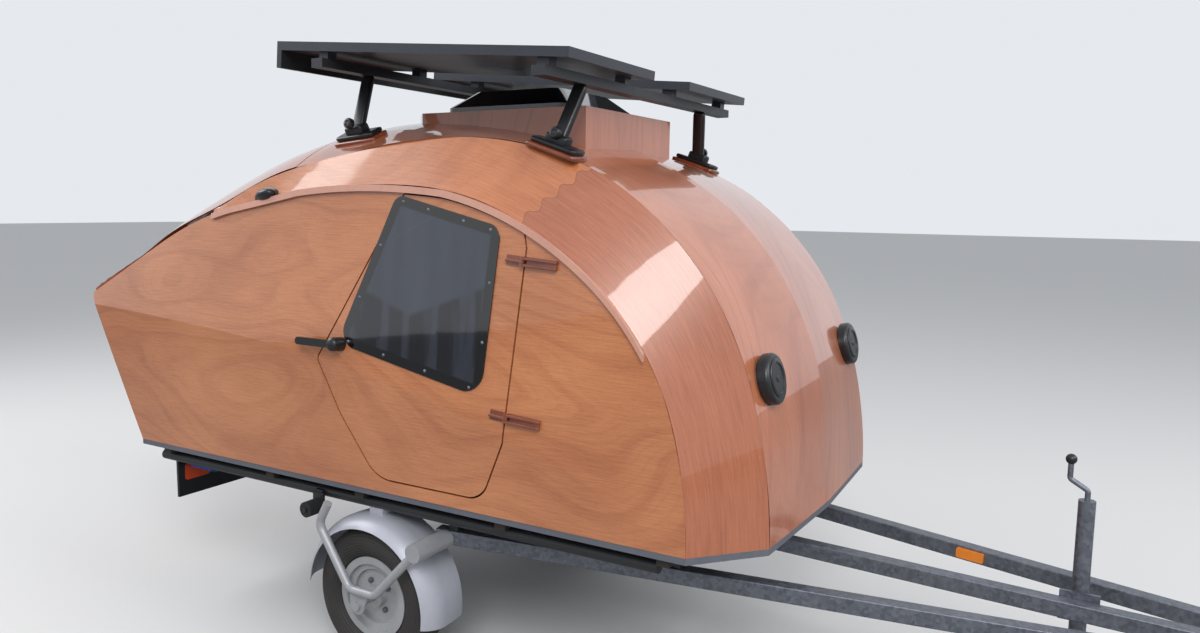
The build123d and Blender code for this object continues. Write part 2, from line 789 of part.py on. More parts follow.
pivot = place(pivot_at[0], -arm_y, pivot_at[1])
with BuildPart() as swing_arm:
    with BuildLine():
        path = FilletPolyline(*[place(x, -arm_y, z) for x, z in arm_corners], radius=arm_bend)
    with BuildSketch(Plane(origin=path @ 0, z_dir=path % 0)):
        Circle(arm_tube / 2)
    sweep(path=path)
    with BuildSketch(Plane(origin=pivot - Vector(0, boss_half, 0), z_dir=(0, 1, 0))):
        Circle(pivot_tube / 2)
    extrude(amount=arm_y - pivot_inner + boss_half)
    add(rail_bar(rail_rear - rail, 0, -1, 2 * pivot_tube), mode=Mode.SUBTRACT)
    plate_y = -arm_y + arm_tube / 2
    with BuildSketch(Plane(origin=(hub.X, plate_y, hub.Z), x_dir=(1, 0, 0), z_dir=(0, -1, 0))):
        with BuildLine():
            Polyline((-plate_half, 0), (-plate_half, plate_rise), (plate_half + plate_lead, plate_rise),
                     (plate_half, 0), close=True)
        make_face()
        Circle(plate_half)
    extrude(amount=plate_thickness)
    with BuildSketch(Plane(origin=(hub.X, plate_y - plate_thickness, hub.Z), z_dir=(0, 1, 0))):
        Circle(axle_radius)
    extrude(amount=-plate_y + plate_thickness - wheel_y + axle_end)
    with BuildSketch(Plane(origin=(hub.X, plate_y - plate_thickness, hub.Z), z_dir=(0, -1, 0))):
        Circle(plate_half - arm_tube / 2)
    extrude(amount=axle_nut)
save_pair(swing_arm.part, "swing_arm")

# Rubber rollers that the arms press on
roller = place(roller_at[0], -roller_y, roller_at[1])
with BuildPart() as rubber_springs:
    with BuildSketch(Plane(origin=roller, z_dir=(0, -1, 0))):
        Circle(roller_radius)
        Circle(roller_pin + lid_gap, mode=Mode.SUBTRACT)
    extrude(amount=roller_width)
    mirror(about=Plane.XZ)
save(rubber_springs.part, "rubber_springs")

# Floor joists and the tubular frame under them
with BuildPart() as floor_joists:
    for x in joists_x:
        with Locations(place(x, 0, frame_top / 2)):
            Box(joist_size[0], 2 * (floor_half - joist_inset), joist_size[1])
save(floor_joists.part, "floor_joists")


with BuildPart() as frame_tubes:
    for side in (-1, 1):
        with Locations(place((frame_ends[0] + frame_ends[1]) / 2, side * frame_y, frame_z)):
            Cylinder(frame_tube / 2, frame_ends[1] - frame_ends[0] + 2 * frame_tube, rotation=(0, 90, 0))
    for x in cross_tubes_x:
        with Locations(place(x, 0, frame_z)):
            Cylinder(cross_tube / 2, 2 * frame_y, rotation=(90, 0, 0))
    for x, ys in ((cross_tubes_x[2], (-rail_centre_y(cross_tubes_x[2]), rail_centre_y(cross_tubes_x[2]))),
                  (cross_tubes_x[3], (-rail_centre_y(cross_tubes_x[3]), 0, rail_centre_y(cross_tubes_x[3])))):
        bottom = rail_z(x + spacer / 2) if rail_drop < 0 else rail_z(x - spacer / 2)
        for y in ys:
            with Locations(place(x, y, (frame_z + bottom + lid_gap) / 2)):
                Box(spacer, spacer, frame_z - bottom - lid_gap)
    for side in (-1, 1):
        hanger_y = side * (roller_y - hanger_thickness / 2)
        with Locations(place(roller_at[0], hanger_y, (frame_z + roller_at[1] - roller_radius) / 2)):
            Box(2 * roller_pin + spacer, hanger_thickness, frame_z - roller_at[1] + roller_radius)
        with Locations(place(roller_at[0], side * (roller_y + roller_width / 2), roller_at[1])):
            Cylinder(roller_pin, roller_width + 2 * hanger_thickness, rotation=(90, 0, 0))
        with Locations(place(roller_at[0], side * (frame_y + hanger_y * side) / 2, frame_z)):
            Box(spacer, hanger_y * side - frame_y, frame_tube / 2)
save(frame_tubes.part, "frame_tubes")


# Drawbar: two converging rails, a middle rail and the coupling
with BuildPart() as drawbar_middle:
    add(rail_bar(rail_middle_rear, rail_front, 0))
save(drawbar_middle.part, "drawbar_middle")

with BuildPart() as drawbar_rail:
    add(rail_bar(rail_rear, rail_meet, -1))
    with Locations(place(0, 0, rail_top)):
        Box(4 * rail_front, rail + 2 * lid_gap, 4 * rail, mode=Mode.SUBTRACT)
save_pair(drawbar_rail.part, "drawbar_rail")

coupling_z = rail_z(rail_front) - rail / 2
cup_x = coupling_tip - cup_outer
with BuildPart() as coupling:
    with BuildSketch(Plane.YZ.offset(nose_x + rail_front - coupling_overlap)):
        with Locations((0, floor_z + coupling_z)):
            RectangleRounded(rail + 2 * coupling_wall, rail + 2 * coupling_wall, coupling_wall)
    with BuildSketch(Plane.YZ.offset(nose_x + cup_x - cup_outer * 0.6)):
        with Locations((0, floor_z + coupling_z + cup_rise / 2)):
            RectangleRounded(rail + coupling_wall, cup_height, coupling_wall)
    loft()
    with BuildSketch(Plane.XY.offset(floor_z + coupling_z + cup_rise / 2 - cup_height / 2)):
        with Locations((nose_x + cup_x, 0)):
            Circle(cup_outer)
    extrude(amount=cup_height)
    fillet(coupling.faces().sort_by(Axis.Z)[-1].edges().filter_by(GeomType.CIRCLE), coupling_wall)
    with BuildSketch(Plane.XY.offset(floor_z + coupling_z + cup_rise / 2 - cup_height / 2 + cup_depth)):
        with Locations((nose_x + cup_x, 0)):
            Circle(ball_bore / 2)
    extrude(amount=-2 * cup_depth, mode=Mode.SUBTRACT)
    add(rail_bar(rail_middle_rear, rail_front, 0), mode=Mode.SUBTRACT)
    with BuildLine():
        lever_z = coupling_z + cup_rise / 2 + cup_height / 2
        lever = FilletPolyline(place(cup_x, 0, lever_z - coupling_wall), place(cup_x - 10, 0, lever_z + lever_rise),
                               place(cup_x - lever_length, 0, lever_z + lever_rise + 12), radius=18)
    with BuildSketch(Plane(origin=lever @ 0, z_dir=lever % 0)):
        RectangleRounded(lever_width, lever_width * 0.6, 4)
    sweep(path=lever)
save(coupling.part, "coupling")

# Jack beside the middle rail
jack_y = rail / 2 + jack_plate + jack_tube / 2
with BuildPart() as jack_body:
    with Locations(place(jack_x, jack_y, (jack_ends[0] + jack_ends[1]) / 2)):
        Cylinder(jack_tube / 2, jack_ends[1] - jack_ends[0])
    with Locations(place(jack_x, jack_y - jack_tube / 2, rail_z(jack_x) - rail / 2)):
        Box(jack_plate_length, 2 * jack_plate, jack_plate_height)
    with Locations(place(jack_x, rail / 2 - jack_plate, rail_z(jack_x) - rail / 2)):
        Box(jack_plate_length, 2 * jack_plate, 2 * jack_plate_height, mode=Mode.SUBTRACT)
    with Locations(place(jack_x, jack_y, (jack_ends[0] + jack_ends[1] - jack_cap) / 2)):
        Cylinder(jack_bore / 2, jack_ends[1] - jack_ends[0] - jack_cap, mode=Mode.SUBTRACT)
save(jack_body.part, "jack_body")

with BuildPart() as jack_foot_leg:
    with Locations(place(jack_x, jack_y, (jack_foot[2] / 2 - floor_z))):
        Box(*jack_foot)
    with Locations(place(jack_x, jack_y, (leg_top - floor_z + jack_foot[2]) / 2)):
        Cylinder(jack_bore / 2 - lid_gap, leg_top + floor_z - jack_foot[2])
save(jack_foot_leg.part, "jack_leg")

with BuildPart() as jack_crank:
    with BuildLine():
        crank = FilletPolyline(
            place(jack_x, jack_y, jack_ends[1]), place(jack_x, jack_y, jack_ends[1] + crank_neck),
            place(jack_x - crank_throw, jack_y, jack_ends[1] + crank_neck + crank_slope),
            place(jack_x - crank_throw, jack_y, crank_top), radius=crank_bend)
    with BuildSketch(Plane(origin=crank @ 0, z_dir=crank % 0)):
        Circle(crank_radius)
    sweep(path=crank)
    with Locations(place(jack_x - crank_throw, jack_y, crank_top)):
        Sphere(crank_knob)
save(jack_crank.part, "jack_crank")

# Rear board with its lamps, inlet, reflectors and blank plate
board_front = frame_ends[0] - cross_tube / 2


def lamp_block(gap):
    """The rear lamps' shape, which reaches through the board, with a gap round it."""
    with BuildPart() as block:
        with BuildSketch(Plane.YZ.offset(nose_x + board_front)):
            with Locations(*[(side * lamp_y, floor_z + board_top - board_size[2] / 2) for side in (-1, 1)]):
                RectangleRounded(lamp_size[1] + 2 * gap, lamp_size[2] + 2 * gap, lamp_round + gap)
        extrude(amount=-board_size[0] - lamp_size[0])
    return block.part


with BuildPart() as light_board:
    with Locations(place(board_front - board_size[0] / 2, 0, board_top - board_size[2] / 2)):
        Box(*board_size)
    add(lamp_block(lid_gap), mode=Mode.SUBTRACT)
save(light_board.part, "light_board")

with BuildPart() as rear_lamps:
    add(lamp_block(0))
save(rear_lamps.part, "rear_lamps")

with BuildPart() as power_inlet:
    with Locations(place((inlet_ends[0] + inlet_ends[1]) / 2, -inlet_y,
                         frame_z - cross_tube / 2 - inlet_radius - lid_gap)):
        Cylinder(inlet_radius, inlet_ends[1] - inlet_ends[0], rotation=(0, 90, 0))
save(power_inlet.part, "power_inlet")


def rail_face(start, end, side):
    """Plane on a rail's outer face, halfway between two places ahead."""
    a = place(start, side * rail_centre_y(start), rail_z(start) - rail / 2)
    b = place(end, side * rail_centre_y(end), rail_z(end) - rail / 2)
    along = (b - a).normalized()
    outward = Vector(0, 0, side).cross(along).normalized() * -1
    return Plane(origin=(a + b) * 0.5 + outward * (rail / 2), x_dir=along, z_dir=outward)


with BuildPart() as reflectors:
    for start, end in reflector_spans:
        for side in (-1, 1):
            with BuildSketch(rail_face(start, end, side)):
                RectangleRounded(end - start, reflector_height, reflector_round)
            extrude(amount=reflector_thickness)
save(reflectors.part, "reflectors")

with BuildPart() as marker_plate:
    with BuildSketch(rail_face(*marker_span, -1)):
        Rectangle(marker_span[1] - marker_span[0], marker_height)
    extrude(amount=marker_thickness)
save(marker_plate.part, "marker_plate")
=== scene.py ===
import json
from math import cos, pi, radians, sin

import bmesh
import bpy
import numpy as np
from mathutils import Matrix, Vector
from mathutils.bvhtree import BVHTree


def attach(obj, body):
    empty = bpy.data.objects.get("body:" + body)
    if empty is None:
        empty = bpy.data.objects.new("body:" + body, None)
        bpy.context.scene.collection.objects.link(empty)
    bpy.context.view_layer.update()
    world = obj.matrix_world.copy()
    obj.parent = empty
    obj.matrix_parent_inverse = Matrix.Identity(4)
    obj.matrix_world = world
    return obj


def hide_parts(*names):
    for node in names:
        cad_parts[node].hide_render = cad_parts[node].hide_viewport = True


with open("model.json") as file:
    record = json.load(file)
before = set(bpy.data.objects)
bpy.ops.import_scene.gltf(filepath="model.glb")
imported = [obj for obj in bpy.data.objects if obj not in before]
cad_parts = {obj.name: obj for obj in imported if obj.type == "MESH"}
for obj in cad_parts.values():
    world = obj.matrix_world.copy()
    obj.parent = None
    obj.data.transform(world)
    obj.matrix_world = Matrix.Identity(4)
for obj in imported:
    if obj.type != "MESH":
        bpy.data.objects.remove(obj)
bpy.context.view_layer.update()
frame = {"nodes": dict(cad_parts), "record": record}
nodes = frame["nodes"]

# Places of the trailer's cabin, from its floor's front side corners and the floor's underside
NOSE_X, FLOOR_Z = 0.272, 0.636
SIDES = {"right": -1, "left": 1}
AXLE = np.array((-0.93, 0.655, 0.2525))      # middle of the left wheel


def cabin(x, y, z):
    """Place in the row frame of a cabin place in millimetres."""
    return np.array((NOSE_X + x / 1000, y / 1000, FLOOR_Z + z / 1000))


def unit(vector):
    """The vector's direction, one long."""
    return vector / np.linalg.norm(vector)


# Shader maths
class Wire:
    """An output socket that Python's operators add Math nodes to."""

    def __init__(self, paint, socket):
        self.paint = paint
        self.socket = socket

    def _math(self, operation, *values):
        return self.paint.node("ShaderNodeMath", {"operation": operation}, dict(enumerate(values)))

    def __add__(self, other):
        return self._math("ADD", self, other)

    def __sub__(self, other):
        return self._math("SUBTRACT", self, other)

    def __rsub__(self, other):
        return self._math("SUBTRACT", other, self)

    def __mul__(self, other):
        return self._math("MULTIPLY", self, other)

    def __truediv__(self, other):
        return self._math("DIVIDE", self, other)

    def __pow__(self, other):
        return self._math("POWER", self, other)

    def __gt__(self, other):
        return self._math("GREATER_THAN", self, other)

    def __lt__(self, other):
        return self._math("LESS_THAN", self, other)

    __radd__ = __add__
    __rmul__ = __mul__

    def sin(self):
        return self._math("SINE", self)

    def abs(self):
        return self._math("ABSOLUTE", self)

    def fraction(self):
        return self._math("FRACT", self)

    def clamp(self):
        return self.paint.node("ShaderNodeClamp", {}, {"Value": self})

    def least(self, other):
        return self._math("MINIMUM", self, other)

    def angle(self, other):
        """Angle of the point (other, self)."""
        return self._math("ARCTAN2", self, other)

    def ramp(self, low, high, start=0.0, end=1.0):
        """Smooth step of the value from start to end as it goes from low to high."""
        settings = {"interpolation_type": "SMOOTHSTEP"}
        inputs = {"Value": self, "From Min": low, "From Max": high, "To Min": start, "To Max": end}
        return self.paint.node("ShaderNodeMapRange", settings, inputs)


class Paint:
    """A material's node tree with one Principled shader."""

    def __init__(self, name, **sockets):
        self.material = bpy.data.materials.new(name)
        self.material.use_nodes = True
        self.tree = self.material.node_tree
        self.shader = next(n for n in self.tree.nodes if n.type == "BSDF_PRINCIPLED")
        for key, value in sockets.items():
            self.set(key.replace("_", " ").title().replace("Ior", "IOR"), value)
        self.place = self.node("ShaderNodeTexCoord", {}, {}, "Object")
        self.x, self.y, self.z = self.split(self.place)

    def node(self, kind, settings, inputs, output=0):
        """Adds a node, sets it up, links or fills its inputs, and returns one output."""
        made = self.tree.nodes.new(kind)
        for key, value in settings.items():
            setattr(made, key, value)
        for key, value in inputs.items():
            if isinstance(value, Wire):
                self.tree.links.new(value.socket, made.inputs[key])
            else:
                made.inputs[key].default_value = value
        return Wire(self, made.outputs[output])

    def set(self, socket, value):
        """Links or fills one of the shader's inputs."""
        if isinstance(value, Wire):
            self.tree.links.new(value.socket, self.shader.inputs[socket])
        else:
            self.shader.inputs[socket].default_value = value

    def split(self, vector):
        """A vector's x, y and z."""
        made = self.tree.nodes.new("ShaderNodeSeparateXYZ")
        self.tree.links.new(vector.socket, made.inputs[0])
        return [Wire(self, s) for s in made.outputs]

    def join(self, x, y, z):
        """A vector of three values or links."""
        return self.node("ShaderNodeCombineXYZ", {}, {"X": x, "Y": y, "Z": z})

    def noise(self, vector, scale, detail=3.0, roughness=0.55, distortion=0.0):
        """Noise about 0.5 at a vector."""
        inputs = {"Vector": vector, "Scale": scale, "Detail": detail, "Roughness": roughness,
                  "Distortion": distortion}
        return self.node("ShaderNodeTexNoise", {}, inputs, "Fac")

    def mix(self, share, low, high):
        """Colour between two colours, each a link or red, green and blue."""
        full = [c if isinstance(c, Wire) else (*c, 1.0) for c in (low, high)]
        made = self.tree.nodes.new("ShaderNodeMix")
        made.data_type = "RGBA"
        for key, value in (("Factor", share), ("A", full[0]), ("B", full[1])):
            socket = next(s for s in made.inputs if s.name == key and s.enabled)
            if isinstance(value, Wire):
                self.tree.links.new(value.socket, socket)
            else:
                socket.default_value = value
        return Wire(self, next(s for s in made.outputs if s.enabled))

    def bump(self, height, strength, distance):
        """Shades the surface as if it were raised by the height times the distance."""
        inputs = {"Height": height, "Strength": strength, "Distance": distance}
        self.set("Normal", self.node("ShaderNodeBump", {}, inputs, "Normal"))


def color(red, green, blue):
    """Linear colour of a screen colour from 0 to 255."""
    return tuple(((c / 255 + 0.055) / 1.055) ** 2.4 if c > 10 else c / 3294 for c in (red, green, blue))


def varnished(name, dark, light, along, across, rings, shift, joint=None):
    """Plywood under gloss varnish: contour lines of a slow height field, rings of them to each step of it,
    and fine fibres along the grain. along and across give the grain's own coordinates from the material's
    x, y and z, and shift moves the pattern. joint gives the distance ahead of a joint between two sheets,
    the front one redder and straighter in the grain."""
    paint = Paint(name, roughness=0.3, coat_weight=1.0, coat_roughness=0.035, coat_ior=1.5)
    grain, side = along(paint), across(paint)
    slow = paint.join(grain * 0.5 + shift, side * 1.3, shift)
    height = paint.noise(slow, 1.0, 2.0, 0.42, 0.3)
    lines = ((height * rings + side * 2.0) * (2 * pi)).sin()
    fine = ((height * rings * 3.1) * (2 * pi)).sin()
    fibre = paint.noise(paint.join(grain * 6.0, side * 150.0, shift), 1.6, 3.0, 0.6)
    pores = paint.noise(paint.join(grain * 22.0, side * 420.0, shift), 2.2, 2.0, 0.6)
    cloud = paint.noise(paint.join(grain * 1.1 + 7.0, side * 2.2, shift), 1.7, 2.0, 0.5)
    tone = (0.55 + lines.ramp(0.2, 1.0, 0.0, -0.12) + fine.ramp(0.3, 1.0, 0.0, -0.05)
            + (fibre - 0.5) * 0.7 + (cloud - 0.5) * 0.8).clamp()
    warm = paint.mix(tone, dark, light)
    if joint:
        ahead = joint(paint)
        straight = (0.5 + (fibre - 0.5) * 0.9 + (cloud - 0.5) * 0.5).clamp()
        front = paint.mix(straight, color(130, 68, 44), color(196, 120, 84))
        warm = paint.mix(ahead.ramp(-0.0005, 0.0005), warm, front)
        warm = paint.mix((ahead.abs() < 0.0012) * 0.6, warm, color(70, 30, 20))
    pore_tint = tuple(c * 0.45 for c in dark)
    paint.set("Base Color", paint.mix(pores.ramp(0.56, 0.72, 0.0, 0.35), warm, pore_tint))
    paint.bump(fibre, 0.05, 0.0006)
    return paint.material


def chine_joint(paint):
    """Distance ahead of the chine's joint: a slanted line with teeth of 12 mm every 55 mm."""
    start_x, start_z = NOSE_X - 0.503, FLOOR_Z + 1.031
    run_x, run_z = 0.66, 0.753
    tooth, pitch = 0.012, 0.055
    x, z = paint.x - start_x, paint.z - start_z
    across, along = x * run_z - z * run_x, x * run_x + z * run_z
    return across + (along * (2 * pi / pitch)).sin() * tooth


# Window's corners in millimetres of the cabin: top rear, top front, bottom front, bottom rear
WINDOW = np.array(((-1066, 1018), (-649, 921), (-699, 396), (-1302, 517)), float)


def window_edges():
    """Each edge's first and second corner, and the unit direction across it towards the window's middle."""
    middle = WINDOW.mean(axis=0)
    for first, second in zip(WINDOW, np.roll(WINDOW, -1, axis=0)):
        run = unit(second - first)
        way = np.array((-run[1], run[0]))
        yield first, second, way if way @ (middle - first) > 0 else -way


def smoked_glass():
    """Dark see-through sheet with a black band along its edges and the shapes of curtains behind it."""
    band = 0.030, 0.036      # distances from the edge between which the band ends
    hem_z, parting_x, hem_slope = FLOOR_Z + 0.62, -0.72, 0.35
    paint = Paint("window_glass", roughness=0.05, coat_weight=1.0, coat_roughness=0.02)
    depth = None
    for first, _, way in window_edges():
        place = cabin(first[0], 0, first[1])
        edge = (paint.x - place[0]) * way[0] + (paint.z - place[2]) * way[1]
        depth = edge if depth is None else depth.least(edge)
    wave = paint.noise(paint.join(paint.x * 6.0, paint.z * 0.8, 2.0), 2.4, 3.0)
    folds = ((paint.x * 9.0 + wave * 1.6) * (2 * pi)).sin().ramp(-0.6, 1.0)
    hem = (paint.z - hem_z - (paint.x - parting_x).abs() * hem_slope).ramp(0.0, 0.02)
    behind = paint.mix(folds, color(22, 24, 30), color(48, 52, 62))
    upper = paint.mix(wave, color(40, 45, 56), color(66, 72, 86))
    inside = paint.mix(hem, behind, upper)
    paint.set("Base Color", paint.mix(depth.ramp(*band), color(9, 9, 11), inside))
    paint.set("Alpha", depth.ramp(*band, 1.0, 0.9))
    return paint.material


def tyre_rubber():
    """Rings on the sidewall from the radius about the axle, and grooves and blocks on the tread."""
    ring_pitch, groove_pitch, block_count, block_slant = 0.0095, 0.024, 44.0, 30.0
    paint = Paint("tyre")
    x, z = paint.x - AXLE[0], paint.z - AXLE[2]
    radius = (x * x + z * z) ** 0.5
    beside = paint.y.abs() - AXLE[1]
    rings = (radius * (2 * pi / ring_pitch)).sin() * radius.ramp(0.236, 0.24, 1.0, 0.0)
    grooves = ((beside * (2 * pi / groove_pitch)).sin() > 0.72) * radius.ramp(0.238, 0.242)
    blocks = ((z.angle(x) * block_count + beside * block_slant).sin() > 0.86) * radius.ramp(0.240, 0.243)
    grit = paint.noise(paint.place, 90.0, 4.0)
    dust = paint.noise(paint.place, 9.0, 3.0)
    paint.set("Base Color", paint.mix(dust, color(34, 33, 34), color(66, 62, 59)))
    paint.set("Roughness", grit * 0.15 + 0.62)
    paint.bump(rings * 0.35 + grit * 0.15 - grooves - blocks * 0.7, 0.6, 0.004)
    return paint.material


def curve_angle(paint):
    """Length along the hull's curve, from the angle about a point low inside the cabin."""
    middle_x, middle_z, reach = -0.95, 0.75, 1.15
    return (paint.z - middle_z).angle(paint.x - middle_x) * reach


def plain(name, tint, roughness, metallic=0.0, speck=0.12, scale=60.0, bump=0.05, **sockets):
    """One colour that varies a little, with fine unevenness."""
    paint = Paint(name, metallic=metallic, **sockets)
    cloud = paint.noise(paint.place, scale * 0.08, 3.0)
    grit = paint.noise(paint.place, scale, 4.0, 0.7)
    darker = tuple(c * (1 - speck) for c in tint)
    paler = tuple(min(1.0, c * (1 + speck)) for c in tint)
    paint.set("Base Color", paint.mix((cloud * 0.6 + grit * 0.4).ramp(0.3, 0.7), darker, paler))
    paint.set("Roughness", (grit - 0.5) * 0.15 + (cloud - 0.5) * 0.1 + roughness)
    paint.bump(grit, bump, 0.0005)
    return paint.material


def galvanised():
    """Zinc with broad spangles and dull, paler weathering, both colours darkened as painted shade."""
    paint = Paint("galvanised", metallic=0.75)
    cells = paint.node("ShaderNodeTexVoronoi", {"feature": "F1"},
                       {"Vector": paint.place, "Scale": 90.0}, "Color")
    spangle = paint.split(cells)[0]
    cloud = paint.noise(paint.place, 7.0, 4.0)
    # Painted shade: both colours are darker than the zinc's own, to stand for the shade the parts lie in.
    paint.set("Base Color", paint.mix(spangle * 0.5 + cloud * 0.5, color(84, 88, 97), color(136, 140, 149)))
    paint.set("Roughness", spangle * 0.12 + cloud * 0.2 + 0.34)
    paint.bump(cloud, 0.08, 0.001)
    return paint.material


def solar_face():
    """Dark cells in a grid with thin pale lines, under a glossy sheet."""
    paint = Paint("solar_face", roughness=0.25, coat_weight=0.8, coat_roughness=0.05)
    cell, line, panel_start = 0.131, 0.02, 0.142
    lengthwise = ((paint.x / cell).fraction() - 0.5).abs() > 0.5 - line
    across = (((paint.y.abs() - panel_start) / cell).fraction() - 0.5).abs() > 0.5 - line
    cloud = paint.noise(paint.place, 25.0, 2.0)
    cells = paint.mix(cloud, color(20, 23, 32), color(30, 34, 46))
    paint.set("Base Color", paint.mix((lengthwise + across).clamp(), cells, color(74, 78, 84)))
    return paint.material


finishes = {
    "wood_side": varnished("side_wood", color(156, 84, 46), color(222, 148, 98),
                           lambda p: p.x, lambda p: p.z, 24.0, 3.1),
    "wood_chine": varnished("chine_wood", color(152, 80, 42), color(218, 142, 94),
                            curve_angle, lambda p: p.y.abs() * 1.6, 26.0, 11.4, chine_joint),
    "wood_roof": varnished("roof_wood", color(146, 74, 46), color(210, 134, 98),
                           curve_angle, lambda p: p.y, 22.0, 23.7),
    "wood_trim": varnished("trim_wood", color(88, 38, 20), color(150, 74, 44),
                           lambda p: p.x, lambda p: p.z, 40.0, 5.0),
    "wood_floor": plain("floor_edge", color(96, 99, 108), 0.5),
    "wood_joist": plain("joist_wood", color(48, 40, 34), 0.7, bump=0.2),
    "window_glass": smoked_glass(),
    "skylight_plastic": plain("skylight_frame", color(176, 178, 180), 0.35),
    "skylight_dome": plain("skylight_dome", color(22, 24, 28), 0.1, speck=0.05, bump=0.0,
                           coat_weight=1.0, coat_roughness=0.03),
    "solar_panel": plain("panel_rim", color(46, 50, 58), 0.35),
    "aluminium": plain("bar_metal", color(62, 64, 68), 0.4, metallic=0.6),
    "galvanised": galvanised(),
    "frame_paint": plain("frame_paint", color(38, 39, 42), 0.45),
    "fender_paint": plain("fender_paint", color(186, 188, 198), 0.38, metallic=0.15, speck=0.05, scale=30.0),
    "arm_paint": plain("arm_paint", color(168, 170, 174), 0.4, metallic=0.25, speck=0.08, scale=40.0),
    "rim_paint": plain("rim_paint", color(176, 178, 180), 0.42, metallic=0.2, speck=0.1, scale=30.0),
    "black_plastic": plain("black_plastic", color(26, 27, 30), 0.32),
    "rubber": plain("rubber", color(28, 28, 29), 0.7),
    "tyre": tyre_rubber(),
    "lamp_red": plain("lamp_red", color(214, 74, 30), 0.2, coat_weight=0.6),
    "amber": plain("amber", color(255, 140, 20), 0.3, coat_weight=0.6),
    "inlet_blue": plain("inlet_blue", color(40, 92, 176), 0.3),
    "marker_blue": plain("marker_blue", color(38, 108, 190), 0.35)}
solar_cells = solar_face()
moulding_finish = plain("moulding", color(206, 152, 132), 0.32, speck=0.08, coat_weight=0.6)


def second_finish(node, finish, chosen):
    """Gives a node's faces a second finish where chosen(middles, normals) says so."""
    mesh = nodes[node].data
    mesh.materials.append(finish)
    middles, normals = np.empty(len(mesh.polygons) * 3), np.empty(len(mesh.polygons) * 3)
    mesh.polygons.foreach_get("center", middles)
    mesh.polygons.foreach_get("normal", normals)
    where = chosen(middles.reshape(-1, 3), normals.reshape(-1, 3))
    mesh.polygons.foreach_set("material_index", where.astype(np.int32))


def dress_nodes():
    """Every carried-over node gets its slot's finish, and some of their faces a second one."""
    for part in frame["record"]["subparts"]:
        slots = nodes[part["node"]].data.materials
        slots.clear()
        slots.append(finishes[part["material_slot"]])
    black = finishes["black_plastic"]
    handle_front = cabin(-1100, 0, 0)[0]
    knob_low = cabin(0, 0, 236)[2]
    upward = 0.9
    for side in SIDES:
        second_finish("solar_panel_" + side, solar_cells, lambda middles, normals: normals[:, 2] > upward)
        second_finish("door_fittings_" + side, black, lambda middles, normals: middles[:, 0] < handle_front)
        nodes["drip_moulding_" + side].data.materials[0] = moulding_finish
    second_finish("jack_crank", black, lambda middles, normals: middles[:, 2] > knob_low)


dress_nodes()


# Surfaces
def fore(normal):
    """Unit direction across a normal that runs forward, with no sideways part."""
    return unit(np.cross((0.0, 1.0, 0.0), normal))


def round_angles(steps):
    """Angles evenly round a circle, along a grid's second direction."""
    return np.linspace(0, 2 * pi, steps, endpoint=False)[None, :, None]


def turned(place, normal, profile, steps=28):
    """Round form about a normal that isn't upright: each radius of the profile times the cosine and sine
    of the turn, plus its height along the normal."""
    straight = unit(np.asarray(normal, float))
    level = unit(np.cross((0.0, 0.0, 1.0), straight))
    upper = np.cross(straight, level)
    turn = round_angles(steps)
    radius, height = np.array(profile).T[:, :, None, None]
    return np.asarray(place) + radius * (np.cos(turn) * level + np.sin(turn) * upper) + height * straight


def rounded_bar(start, end, outward, half_width, half_depth, rows=25, steps=32):
    """Bar whose section is the superellipse |u / half_width|^4 + |v / half_depth|^4 = 1, v along outward,
    drawn in at its ends by (1 - |2t - 1|^16)^(1/4), but no less than 0.05, as t runs along it."""
    start, end, outward = (np.asarray(v, float) for v in (start, end, outward))
    along = unit(end - start)
    out = unit(outward - along * (outward @ along))
    share = 0.5 - 0.5 * np.cos(np.linspace(0, pi, rows))
    scale = np.maximum((1 - np.abs(2 * share - 1) ** 16), 0.0) ** 0.25
    scale = np.maximum(scale, 0.05)[:, None, None]
    turn = round_angles(steps)
    wide = np.sign(np.cos(turn)) * np.abs(np.cos(turn)) ** 0.5 * half_width
    deep = np.sign(np.sin(turn)) * np.abs(np.sin(turn)) ** 0.5 * half_depth
    middle = start + share[:, None, None] * (end - start)
    return middle + scale * (wide * np.cross(along, out) + deep * out)


def piece(name, blocks, slot, body, stands_for=()):
    """One mesh of blocks of rings, each rows by steps, closed round and capped at both ends."""
    faces, count = [], 0
    for block in blocks:
        rows, steps = block.shape[:2]
        index = count + np.arange(rows * steps).reshape(rows, steps)
        onward = np.roll(index, -1, axis=1)
        quads = np.stack((index[:-1], onward[:-1], onward[1:], index[1:]), axis=-1).reshape(-1, 4)
        faces += quads.tolist() + [index[0][::-1].tolist(), index[-1].tolist()]
        count += rows * steps
    places = np.concatenate([block.reshape(-1, 3) for block in blocks])
    closed_shell(name, places, faces, slot, body, stands_for)


def closed_shell(name, places, faces, slot, body, stands_for=()):
    """A body's piece from places and faces, its seams joined and its faces turned outwards."""
    seam, sharp = 1e-6, radians(42)
    mesh = bpy.data.meshes.new(name)
    mesh.from_pydata(places.tolist(), [], faces)
    shell = bmesh.new()
    shell.from_mesh(mesh)
    bmesh.ops.remove_doubles(shell, verts=shell.verts, dist=seam)
    bmesh.ops.recalc_face_normals(shell, faces=shell.faces)
    shell.to_mesh(mesh)
    shell.free()
    mesh.shade_smooth()
    mesh.set_sharp_from_angle(angle=sharp)
    mesh.materials.append(finishes[slot])
    made = bpy.data.objects.new(name, mesh)
    bpy.context.scene.collection.objects.link(made)
    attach(made, body)
    if stands_for:
        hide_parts(*stands_for)


bpy.context.view_layer.update()
depsgraph = bpy.context.evaluated_depsgraph_get()
BESIDE, ABOVE = 2000, 2500      # cabin y and z, in millimetres, that rays start from, clear of the trailer


